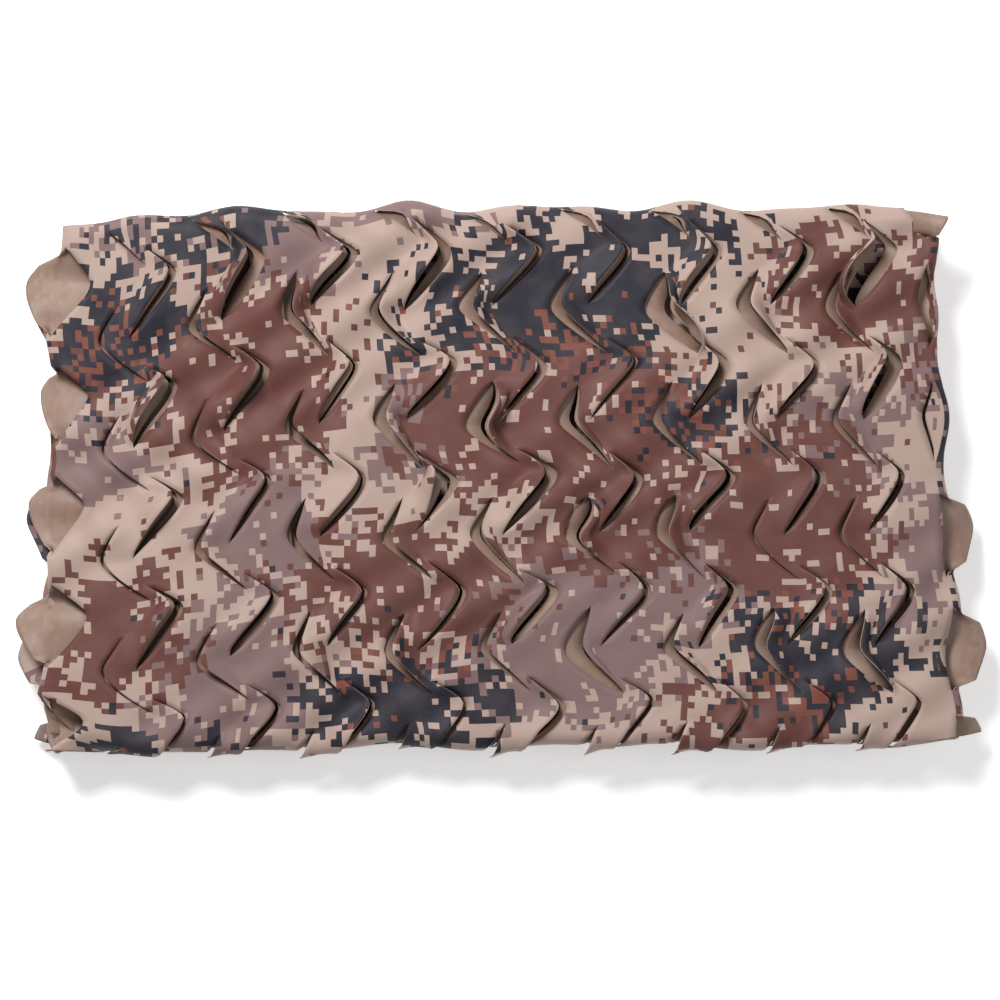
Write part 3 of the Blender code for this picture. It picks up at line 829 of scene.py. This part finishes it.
def fold_line(number, rows):
    """The line of left slits at the end of ply `number`."""
    apex = fold_u(number) - FOLD_LEFT_SLIT["upper_back"]
    return SlitLine(2 * SLIT_COLUMNS * (number + 1) - 1, False, apex, rows, FOLD_LEFT_SLIT)


def add_plies(surface, rows):
    """All the plies, from the tucked end to the lowest one."""
    lines = top_lines(rows)
    # The net was cut through all its plies at once, so that the plies next to the top one have its slits too.
    tucked = [line.mirrored(TUCK_FOLD_U, 1.0) for line in lines[TUCKED_LINES:0:-1]]
    second_stretch = (TOP_LENGTH - (PLIES[1]["runs_to_x"] - TOP_START_X)) / (fold_u(1) - SECOND_START_U)
    second_end_u = SECOND_START_U + TOP_LENGTH / second_stretch
    second = [line.mirrored(second_end_u, 1.0 / second_stretch) for line in lines[-2:0:-1]]

    index = surface.plain_column(FIRST_U)
    index = add_lines(surface, tucked, index, SECOND_DETAIL)
    column = surface.plain_column(TUCK_FOLD_U - FLAP_DEPTH)
    surface.join(index, column)
    index = add_first_fold(surface, lines[0], column)
    index = add_strip(surface, lines[0], lines[1], TOP_DETAIL["narrow"], index)
    index = add_lines(surface, lines[1:-1], index, TOP_DETAIL)
    index = add_strip(surface, lines[-2], covering(0, lines[-1]), TOP_DETAIL["narrow"], index)
    index = add_fold(surface, 0, lines[-1], index, TOP_DETAIL)

    index = add_lines(surface, second, index, SECOND_DETAIL)
    last = fold_line(1, rows)
    index = add_strip(surface, second[-1], covering(1, last), SECOND_DETAIL["narrow"], index)
    index = add_fold(surface, 1, last, index, SECOND_DETAIL)
    for number in range(2, len(PLIES)):
        start_u = fold_u(number - 1) + fold_arc(number - 1)
        for step in range(1, LOWER_COLUMNS):
            column = surface.plain_column(start_u + (fold_u(number) - start_u) * step / LOWER_COLUMNS)
            surface.join(index, column)
            index = column
        if number + 1 < len(PLIES):
            index = add_fold(surface, number, fold_line(number, rows), index, LOWER_DETAIL)
    surface.join(index, surface.plain_column(LAST_U))


def net_mesh():
    """The open cloth as a mesh, with u and v, scaled to fit in a unit square, as its UV map."""
    rows = np.arange(-EDGE_ROW * ROWS_IN_ONE, EDGE_ROW * ROWS_IN_ONE + 1) / ROWS_IN_ONE
    surface = Surface(rows * ROW)
    add_plies(surface, rows)
    points = np.concatenate(surface.points)
    flat = np.concatenate(surface.flat)
    quads = np.concatenate(surface.quads)
    faces = [corners for quad in quads.tolist() if len(corners := list(dict.fromkeys(quad))) >= 3]
    mesh = bpy.data.meshes.new("net")
    mesh.from_pydata(points.tolist(), [], faces)
    mesh.validate()
    corner_vertices = np.empty(len(mesh.loops), np.int32)
    mesh.loops.foreach_get("vertex_index", corner_vertices)
    uv = (flat[corner_vertices] - (FIRST_U, -NET_WIDTH / 2)) / NET_LENGTH
    layer = mesh.uv_layers.new(name="flat_net")
    layer.uv.foreach_set("vector", uv.astype(np.float32).ravel())
    mesh.shade_smooth()
    return mesh


# ---------------------------------------------------------------------------------------------------------
# Shader expressions


class Value:
    """A number in a shader. Operators on it add Math nodes."""

    def __init__(self, nodes, socket):
        self.nodes = nodes
        self.socket = socket

    def math(self, operation, *others):
        """A Math node on this number and the others."""
        values = dict(enumerate((self, *others)))
        node = self.nodes.add("ShaderNodeMath", {"operation": operation}, values)
        return Value(self.nodes, node.outputs[0])

    def __add__(self, other):
        return self.math("ADD", other)

    def __sub__(self, other):
        return self.math("SUBTRACT", other)

    def __mul__(self, other):
        return self.math("MULTIPLY", other)

    def __truediv__(self, other):
        return self.math("DIVIDE", other)

    def __rsub__(self, other):
        node = self.nodes.add("ShaderNodeMath", {"operation": "SUBTRACT"}, {0: other, 1: self})
        return Value(self.nodes, node.outputs[0])

    __radd__ = __add__
    __rmul__ = __mul__

    def above(self, limit):
        return self.math("GREATER_THAN", limit)

    def below(self, limit):
        return self.math("LESS_THAN", limit)

    def floor(self):
        return self.math("FLOOR")

    def larger(self, other):
        return self.math("MAXIMUM", other)

    def smaller(self, other):
        return self.math("MINIMUM", other)

    def sine(self):
        return self.math("SINE")


class Nodes:
    """Adds nodes to one material."""

    def __init__(self, name):
        self.material = bpy.data.materials.new(name)
        self.material.use_nodes = True
        self.tree = self.material.node_tree
        self.shader = self.tree.nodes["Principled BSDF"]

    def add(self, kind, settings=None, values=None):
        """A node of this kind. Its settings are set first, then the values or links of its sockets."""
        node = self.tree.nodes.new(kind)
        for name, setting in (settings or {}).items():
            setattr(node, name, setting)
        for place, value in (values or {}).items():
            value = getattr(value, "socket", value)
            if isinstance(value, bpy.types.NodeSocket):
                self.tree.links.new(value, node.inputs[place])
            else:
                node.inputs[place].default_value = value
        return node

    def vector(self, x, y, z=0.0):
        return self.add("ShaderNodeCombineXYZ", None, {"X": x, "Y": y, "Z": z}).outputs[0]

    def noise(self, vector, scale, detail=2.0, roughness=0.5):
        values = {"Vector": vector, "Scale": scale, "Detail": detail, "Roughness": roughness}
        node = self.add("ShaderNodeTexNoise", {"noise_dimensions": "3D"}, values)
        return Value(self, node.outputs[0])

    def speck(self, x, y, seed):
        """One random number for each whole x and y."""
        values = {"Vector": self.vector(x, y, seed)}
        node = self.add("ShaderNodeTexWhiteNoise", {"noise_dimensions": "3D"}, values)
        return Value(self, node.outputs[0])

    def mix(self, factor, first, second):
        node = self.add("ShaderNodeMix", {"data_type": "RGBA"}, {"Factor": factor, 6: first, 7: second})
        return node.outputs[2]

    def link(self, socket, value):
        self.tree.links.new(getattr(value, "socket", value), self.shader.inputs[socket])


# ---------------------------------------------------------------------------------------------------------
# The print

SQUARE = 0.0034
# Soft patches of each ink on the top ply, as ellipses in metres on the flat net: the middle's x, counted from
# the middle of the ply, and its y, then half the size along x and along y.
PATCHES = {
    "mauve": [
        (-0.194, 0.150, 0.022, 0.014),
        (-0.112, 0.130, 0.026, 0.022),
        (-0.222, 0.023, 0.026, 0.022),
        (-0.048, 0.026, 0.020, 0.024),
        (-0.128, -0.024, 0.032, 0.032),
        (-0.150, -0.108, 0.040, 0.042),
        (0.028, -0.086, 0.064, 0.044),
        (0.080, -0.052, 0.044, 0.030),
        (0.176, 0.022, 0.026, 0.030),
        (0.226, -0.044, 0.018, 0.030),
        (-0.046, 0.150, 0.030, 0.014),
        (0.236, 0.058, 0.018, 0.026),
    ],
    "brown": [
        (-0.134, 0.055, 0.048, 0.054),
        (-0.218, 0.083, 0.030, 0.022),
        (0.028, 0.030, 0.084, 0.042),
        (0.062, -0.018, 0.052, 0.034),
        (0.150, -0.018, 0.052, 0.050),
        (0.182, 0.102, 0.036, 0.034),
        (-0.060, -0.062, 0.054, 0.034),
        (-0.208, -0.072, 0.038, 0.034),
        (0.128, -0.132, 0.036, 0.018),
        (0.230, 0.086, 0.013, 0.026),
    ],
    "dark": [
        (-0.208, 0.094, 0.034, 0.036),
        (-0.156, 0.139, 0.034, 0.020),
        (0.028, 0.098, 0.070, 0.036),
        (0.080, 0.132, 0.042, 0.018),
        (-0.040, 0.072, 0.016, 0.013),
        (0.096, 0.034, 0.024, 0.020),
        (-0.064, -0.122, 0.040, 0.024),
        (0.164, -0.100, 0.050, 0.030),
        (-0.210, -0.138, 0.026, 0.010),
    ],
}
# On the other plies an ink lies where a slow noise, read at a place of the ink's own, is above a level. The
# later inks cover the earlier ones.
LOOSE_INKS = {
    "mauve": {"level": 0.52, "read_at": 31.0},
    "brown": {"level": 0.53, "read_at": 17.0},
    "dark": {"level": 0.58, "read_at": 3.0},
}
PATCH_NOISE = {"scale": 15.0, "reach": 0.35}
# How far, in metres, a patch's outline wanders, and how far out its loose squares scatter.
WANDER = {"scale": 36.0, "roughness": 0.85, "reach": 0.085, "read_further": 50.0}
SCATTER = 0.028
# The levels, in metres, that an ink keeps to deep inside its patches and far outside them.
LEVELS = {"least": -0.027, "most": 0.013}
# Within this level of the brown ink, a share of the dark squares is rust instead.
RUST = {"level": -0.012, "share": 0.32, "seed": 77.0}


def inside_patch(nodes, place_on_net, middle_x, middle_y, half_x, half_y):
    """How far inside an ellipse a place is: 1 less its scaled distance, times the smaller half size."""
    operations = (("SUBTRACT", (middle_x, middle_y, 0.0)), ("DIVIDE", (half_x, half_y, 1.0)))
    for operation, by in operations:
        node = nodes.add("ShaderNodeVectorMath", {"operation": operation}, {0: place_on_net, 1: by})
        place_on_net = node.outputs[0]
    length = nodes.add("ShaderNodeVectorMath", {"operation": "LENGTH"}, {0: place_on_net})
    return (1.0 - Value(nodes, length.outputs["Value"])) * min(half_x, half_y)


def print_colour(nodes, colours):
    """The printed squares.

    The flat position is snapped to whole squares. Each ink's level is how far inside its nearest patch the
    square lies, in metres, and a slow noise lets the outline wander. A sum of random numbers, one for each
    square, each bar of two and each block of four, scatters loose squares round the outline.
    """
    flat = nodes.add("ShaderNodeUVMap", {"uv_map": "flat_net"}).outputs[0]
    parts = nodes.add("ShaderNodeSeparateXYZ", None, {0: flat})
    square_x = (Value(nodes, parts.outputs[0]) * (NET_LENGTH / SQUARE)).floor()
    square_y = (Value(nodes, parts.outputs[1]) * (NET_LENGTH / SQUARE)).floor()
    x = (square_x + 0.5) * SQUARE + (FIRST_U - fold_u(0) / 2)
    y = (square_y + 0.5) * SQUARE - NET_WIDTH / 2
    place_on_net = nodes.vector(x, y)
    half_x, half_y = (square_x / 2.0).floor(), (square_y / 2.0).floor()
    groups = ((square_x, square_y), (half_x, square_y), (square_x, half_y), (half_x, half_y))
    on_top = 1.0 - (x.above(fold_u(0) / 2) + x.below(-fold_u(0) / 2))

    levels = {}
    for seed, (ink, loose) in enumerate(LOOSE_INKS.items()):
        slow = nodes.noise(nodes.vector(x, y, loose["read_at"]), PATCH_NOISE["scale"], 1.0)
        level = ((slow - loose["level"]) * PATCH_NOISE["reach"] - on_top).larger(LEVELS["least"])
        for patch in PATCHES[ink]:
            level = level.larger(inside_patch(nodes, place_on_net, *patch))
        read_at = nodes.vector(x, y, loose["read_at"] + WANDER["read_further"])
        wander = (nodes.noise(read_at, WANDER["scale"], 2.0, WANDER["roughness"]) - 0.5) * WANDER["reach"]
        specks = sum(nodes.speck(*group, 10.0 * seed + kind) for kind, group in enumerate(groups, start=1))
        scatter = (specks - len(groups) / 2) * (SCATTER / 2.0)
        levels[ink] = level.smaller(LEVELS["most"]) + wander + scatter

    mauve = nodes.mix(levels["mauve"].above(0.0), colours["tan"], colours["mauve"])
    brown = nodes.mix(levels["brown"].above(0.0), mauve, colours["brown"])
    chance = nodes.speck(square_x, square_y, RUST["seed"]).above(1.0 - RUST["share"])
    dark = nodes.mix(levels["brown"].above(RUST["level"]) * chance, colours["dark"], colours["rust"])
    return nodes.mix(levels["dark"].above(0.0), brown, dark), flat


# ---------------------------------------------------------------------------------------------------------
# The cloth's faces

THREAD = {"pitch": 0.0006, "height": 0.00002}
# Noises are read with the flat place in metres: the small creases, and the fraying of a cut edge.
SMALL_CREASE = {"scale": 55.0, "height": 0.0009, "bump": 0.5}
FRAY = {"scale": 400.0, "roughness": 0.7}
# How each side takes its second colour where the crease noise is above a level, and how it shines.
PRINTED_FINISH = {"above": 0.35, "by": 0.22, "roughness": 0.45, "specular": 0.22}
# On the back the second colour is painted warm shade: blotches that stand in for light passing through the
# cloth in shadow.
BACK_FINISH_AND_PAINTED_SHADE = {"above": 0.46, "by": 2.0, "roughness": 0.42, "specular": 0.40}
ROUGHER_CREASES = 0.2
PRINT_SHOWS_THROUGH = 0.09


def finish_cloth(nodes, flat, colour, second_colour, finish):
    """Links a side's colour, roughness and bump.

    The bump's height is crossed sines at the thread pitch and a noise for small creases, in metres. The same
    noise mixes in the second colour, which is wear on the printed side and painted warm shade on the back,
    and roughens the cloth.
    """
    parts = nodes.add("ShaderNodeSeparateXYZ", None, {0: flat})
    threads = 2.0 * math.pi * NET_LENGTH / THREAD["pitch"]
    along = (Value(nodes, parts.outputs[0]) * threads).sine()
    across_net = (Value(nodes, parts.outputs[1]) * threads).sine()
    crease = nodes.noise(flat, NET_LENGTH * SMALL_CREASE["scale"], 3.0)
    height = along * across_net * THREAD["height"] + crease * SMALL_CREASE["height"]
    values = {"Strength": SMALL_CREASE["bump"], "Distance": 1.0, "Height": height}
    nodes.link("Normal", nodes.add("ShaderNodeBump", None, values).outputs[0])
    nodes.link("Base Color", nodes.mix((crease - finish["above"]) * finish["by"], colour, second_colour))
    nodes.link("Roughness", crease * ROUGHER_CREASES + finish["roughness"])
    nodes.shader.inputs["Specular IOR Level"].default_value = finish["specular"]


def printed_face(colours):
    """The printed side, rubbed pale on its creases."""
    nodes = Nodes("printed_face")
    colour, flat = print_colour(nodes, colours)
    finish_cloth(nodes, flat, colour, colours["rubbed"], PRINTED_FINISH)
    return nodes.material


def plain_back(colours):
    """The unprinted side, where the print shows through faintly, with blotches of painted warm shade."""
    nodes = Nodes("plain_back")
    colour, flat = print_colour(nodes, colours)
    through = nodes.mix(PRINT_SHOWS_THROUGH, colours["back"], colour)
    # Painted warm shade: the crease noise lays a dark warm brown on the back, standing in for light through
    # the cloth in shadow.
    finish_cloth(nodes, flat, through, colours["show_through"], BACK_FINISH_AND_PAINTED_SHADE)
    return nodes.material


def cut_edge(colours):
    """The cloth's pale core, frayed by a fine noise."""
    nodes = Nodes("cut_edge")
    flat = nodes.add("ShaderNodeUVMap", {"uv_map": "flat_net"}).outputs[0]
    fray = nodes.noise(flat, NET_LENGTH * FRAY["scale"])
    nodes.link("Base Color", nodes.mix(fray, colours["edge"], colours["back"]))
    nodes.shader.inputs["Roughness"].default_value = FRAY["roughness"]
    return nodes.material


# ---------------------------------------------------------------------------------------------------------
# The add-on


class NETTING_PG_sizes(bpy.types.PropertyGroup):
    """Sizes of the dressed net that can be changed without leaving the solid."""

    cloth_thickness: bpy.props.FloatProperty(
        name="Cloth thickness", description="Thickness of the coated cloth", default=0.00045,
        min=0.0001, max=0.003, subtype="DISTANCE", unit="LENGTH",
    )


def colour_property(name, description, *default):
    return bpy.props.FloatVectorProperty(
        name=name, description=description, default=(*default, 1.0), subtype="COLOR", size=4, min=0.0, max=1.0
    )


def length_property(name, description, default):
    return bpy.props.FloatProperty(
        name=name, description=description, default=default, subtype="DISTANCE", unit="LENGTH"
    )


class NETTING_PG_colours(bpy.types.PropertyGroup):
    """Inks and cloth colours, in linear light."""

    tan: colour_property("Tan", "The ground of the print", 0.455, 0.330, 0.280)
    brown: colour_property("Brown", "The red-brown ink", 0.140, 0.050, 0.042)
    mauve: colour_property("Mauve", "The grey-mauve ink", 0.218, 0.138, 0.136)
    dark: colour_property("Dark", "The blue-grey ink", 0.022, 0.021, 0.033)
    rust: colour_property("Rust", "Loose squares in the dark ink", 0.200, 0.063, 0.045)
    back: colour_property("Back", "The unprinted side", 0.300, 0.200, 0.155)
    edge: colour_property("Cut edge", "The pale core along a cut", 0.62, 0.52, 0.44)
    rubbed: colour_property("Rubbed", "Where the print is rubbed pale", 0.42, 0.34, 0.30)
    # Painted warm shade: a dark warm brown that the back takes in blotches, standing in for light through the
    # cloth in shadow.
    show_through: colour_property("Painted warm shade", "Painted warm shade on the back, standing in for light through the cloth", 0.24, 0.11, 0.06)


INKS = ("tan", "brown", "mauve", "dark", "rust", "back", "edge", "rubbed", "show_through")


class NETTING_PG_studio(bpy.types.PropertyGroup):
    """The floor and the camera."""

    view_width: length_property("Width seen", "Width that the camera sees at the top ply", 0.543)
    camera_height: length_property("Camera height", "Height of the camera above the floor", 1.9)
    below_middle: length_property("Aim below the middle", "How far to the front the camera is aimed", 0.012)
    left_of_middle: length_property(
        "Aim left of the middle", "How far to the left the camera is aimed", 0.002
    )
    floor_colour: colour_property("Floor", "Colour of the floor", 0.96, 0.96, 0.96)


# The floor lies just below z = 0, so that it never meets the cloth.
FLOOR = {"size": 6.0, "height": -0.0006, "roughness": 0.9, "glow": 0.4}
WORLD_STRENGTH = 0.20
WHITE = (1.0, 1.0, 1.0, 1.0)
LIGHTS = [
    {"name": "key", "place": (-0.6, 1.0, 1.4), "size": 0.5, "watts": 32.0},
    {"name": "fill", "place": (0.9, -0.2, 1.5), "size": 1.2, "watts": 6.0},
]


def make_floor(colour):
    bpy.ops.mesh.primitive_plane_add(size=FLOOR["size"], location=(0.0, 0.0, FLOOR["height"]))
    floor = bpy.context.object
    floor.name = "studio_floor"
    floor.data.transform(floor.matrix_world)
    floor.matrix_world.identity()
    nodes = Nodes("studio_floor")
    nodes.shader.inputs["Base Color"].default_value = colour
    nodes.shader.inputs["Roughness"].default_value = FLOOR["roughness"]
    nodes.shader.inputs["Emission Color"].default_value = WHITE
    nodes.shader.inputs["Emission Strength"].default_value = FLOOR["glow"]
    floor.data.materials.append(nodes.material)


def make_light(scene):
    """The even light of the world and two square lights, aimed at the origin."""
    world = bpy.data.worlds.new("studio_light")
    scene.world = world
    scene.view_settings.view_transform = "Standard"
    world.use_nodes = True
    background = world.node_tree.nodes["Background"]
    background.inputs["Color"].default_value = WHITE
    background.inputs["Strength"].default_value = WORLD_STRENGTH
    for row in LIGHTS:
        light = bpy.data.lights.new(row["name"], "AREA")
        light.size = row["size"]
        light.energy = row["watts"]
        lamp = bpy.data.objects.new(row["name"], light)
        lamp.location = row["place"]
        lamp.rotation_euler = (-lamp.location).to_track_quat("-Z", "Y").to_euler()
        scene.collection.objects.link(lamp)


def make_camera(scene, studio):
    """A camera that looks straight down. Its lens gives the width seen at the top ply's height."""
    camera = bpy.data.cameras.new("camera")
    camera.sensor_fit = "HORIZONTAL"
    above_net = studio.camera_height - PLIES[0]["height"]
    camera.lens = camera.sensor_width * above_net / studio.view_width
    viewer = bpy.data.objects.new("camera", camera)
    viewer.location = (-studio.left_of_middle, -studio.below_middle, studio.camera_height)
    scene.collection.objects.link(viewer)
    scene.camera = viewer


class NETTING_OT_net(bpy.types.Operator):
    """Make the folded net"""

    bl_idname = "netting.make_net"
    bl_label = "Make net"

    def execute(self, context):
        scene = context.scene
        colours = {ink: tuple(getattr(scene.netting_colours, ink)) for ink in INKS}
        net = bpy.data.objects.new("folded_net", net_mesh())
        scene.collection.objects.link(net)
        for material in (printed_face(colours), plain_back(colours), cut_edge(colours)):
            net.data.materials.append(material)
        solidify = net.modifiers.new("Thickness", "SOLIDIFY")
        solidify.thickness = scene.netting_sizes.cloth_thickness
        solidify.offset = 0.0
        solidify.material_offset = 1
        solidify.material_offset_rim = 2
        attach(net, "root")
        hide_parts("net")
        return {"FINISHED"}


class NETTING_OT_studio(bpy.types.Operator):
    """Make the floor, the lights and the camera"""

    bl_idname = "netting.make_studio"
    bl_label = "Make studio"

    def execute(self, context):
        studio = context.scene.netting_studio
        make_floor(tuple(studio.floor_colour))
        make_light(context.scene)
        make_camera(context.scene, studio)
        return {"FINISHED"}


class NETTING_PT_panel(bpy.types.Panel):
    """Netting"""

    bl_label = "Folded camouflage netting"
    bl_idname = "NETTING_PT_panel"
    bl_space_type = "VIEW_3D"
    bl_region_type = "UI"
    bl_category = "Netting"

    def draw(self, context):
        layout = self.layout
        layout.prop(context.scene.netting_sizes, "cloth_thickness")
        for ink in INKS:
            layout.prop(context.scene.netting_colours, ink)
        layout.operator(NETTING_OT_net.bl_idname)
        for name in ("view_width", "camera_height", "below_middle", "left_of_middle", "floor_colour"):
            layout.prop(context.scene.netting_studio, name)
        layout.operator(NETTING_OT_studio.bl_idname)


GROUPS = {
    "netting_sizes": NETTING_PG_sizes,
    "netting_colours": NETTING_PG_colours,
    "netting_studio": NETTING_PG_studio,
}
CLASSES = (*GROUPS.values(), NETTING_OT_net, NETTING_OT_studio, NETTING_PT_panel)


def register():
    for found in CLASSES:
        bpy.utils.register_class(found)
    for name, group in GROUPS.items():
        setattr(bpy.types.Scene, name, bpy.props.PointerProperty(type=group))


def unregister():
    for name in GROUPS:
        delattr(bpy.types.Scene, name)
    for found in reversed(CLASSES):
        bpy.utils.unregister_class(found)


def main():
    register()
    bpy.ops.netting.make_net()
    bpy.ops.netting.make_studio()


if __name__ == "__main__":
    main()
